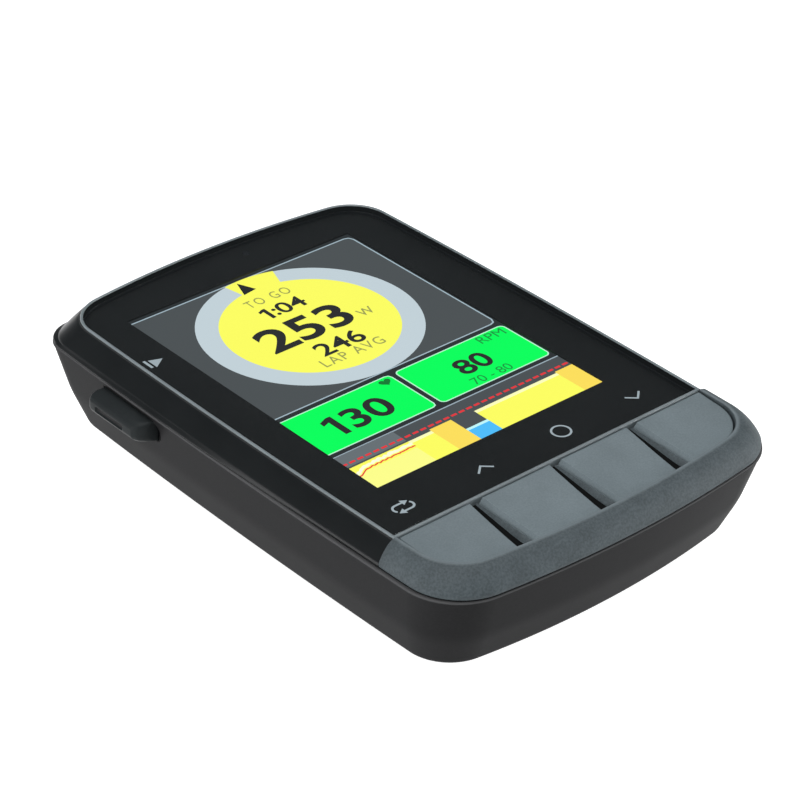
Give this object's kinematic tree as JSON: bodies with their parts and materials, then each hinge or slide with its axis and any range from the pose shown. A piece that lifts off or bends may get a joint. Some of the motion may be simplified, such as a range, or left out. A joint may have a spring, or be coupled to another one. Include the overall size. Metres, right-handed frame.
{
  "type": "cycling computer",
  "caption": "Slim handlebar cycling computer with a colour display under a flush lens, soft keys below it, a side button, a port door and a quarter-turn mount.",
  "frame": {"origin": "centre of the quarter-turn mount's outer face, the face the device rests on", "axes": "+Z out of the display, +Y towards the top of the display, +X to the rider's right"},
  "size_m": [0.0503, 0.0722, 0.0173],
  "materials": {
    "case_black": "satin",
    "case_rear": "fine grain",
    "rim_grey": "satin",
    "bezel_grey": "fine grain",
    "lens": "polished",
    "mask_black": "gloss",
    "seal_black": "matte",
    "display": "gloss",
    "white_film": "matte",
    "sheet_steel": "brushed",
    "flex_amber": "satin",
    "connector_tan": "matte",
    "chip_black": "matte",
    "board_green": "solder mask",
    "shield_tin": "satin",
    "switch_body": "satin",
    "key_grey": "fine grain",
    "button_black": "satin",
    "spring_steel": "brushed",
    "door_rubber": "matte",
    "antenna_ceramic": "matte",
    "battery_foil": "satin",
    "foam_black": "matte",
    "lead_red": "satin",
    "screw_black": "black oxide",
    "mount_black": "fine grain"
  },
  "bodies": {
    "case": {"front_case": "case_black", "rear_case": "case_rear", "key_tray": "case_black", "bezel_ring": "rim_grey", "keypad_bezel": "bezel_grey", "cover_glass": "lens", "lens_mask": "mask_black", "display_gasket": "seal_black", "lcd_panel": "display", "backlight_unit": "white_film", "display_chassis": "sheet_steel", "display_flex": "flex_amber", "flex_connector": "connector_tan", "light_sensor": "chip_black", "main_pcb": "board_green", "processor_shield": "shield_tin", "radio_shield": "shield_tin", "pcb_components": "chip_black", "key_switches": "switch_body", "key_seals": "seal_black", "side_button_seal": "seal_black", "side_switch": "switch_body", "usb_connector": "shield_tin", "usb_door_pin": "spring_steel", "buzzer": "chip_black", "pressure_sensor": "shield_tin", "vent_membrane": "white_film", "gps_antenna": "antenna_ceramic", "battery": "battery_foil", "battery_foam": "foam_black", "battery_connector": "connector_tan", "battery_leads": "lead_red", "case_seal": "seal_black", "case_screws": "screw_black", "mount_insert": "mount_black", "mount_screws": "screw_black"},
    "lap_key": {"key_lap": "key_grey"},
    "up_key": {"key_up": "key_grey"},
    "select_key": {"key_select": "key_grey"},
    "down_key": {"key_down": "key_grey"},
    "side_push": {"side_button": "button_black", "side_button_clip": "spring_steel"},
    "port_door": {"usb_door": "door_rubber"}
  },
  "joints": [
    {"name": "lap_key_press", "type": "slide", "parent": "case", "child": "lap_key", "axis": [0, 0, -1], "range_m": [0, 0.0006], "stiffness_N_per_m": 400, "springref_m": -0.0015},
    {"name": "up_key_press", "type": "slide", "parent": "case", "child": "up_key", "axis": [0, 0, -1], "range_m": [0, 0.0006], "stiffness_N_per_m": 400, "springref_m": -0.0015},
    {"name": "select_key_press", "type": "slide", "parent": "case", "child": "select_key", "axis": [0, 0, -1], "range_m": [0, 0.0006], "stiffness_N_per_m": 400, "springref_m": -0.0015},
    {"name": "down_key_press", "type": "slide", "parent": "case", "child": "down_key", "axis": [0, 0, -1], "range_m": [0, 0.0006], "stiffness_N_per_m": 400, "springref_m": -0.0015},
    {"name": "side_push_press", "type": "slide", "parent": "case", "child": "side_push", "axis": [1, 0, 0], "range_m": [0, 0.0006], "stiffness_N_per_m": 400, "springref_m": -0.0015},
    {"name": "port_door_hinge", "type": "hinge", "parent": "case", "child": "port_door", "pos_m": [0.0224, -0.0124, 0.00896], "axis": [0.2588, 0, 0.9659], "range_deg": [0, 100]}
  ]
}
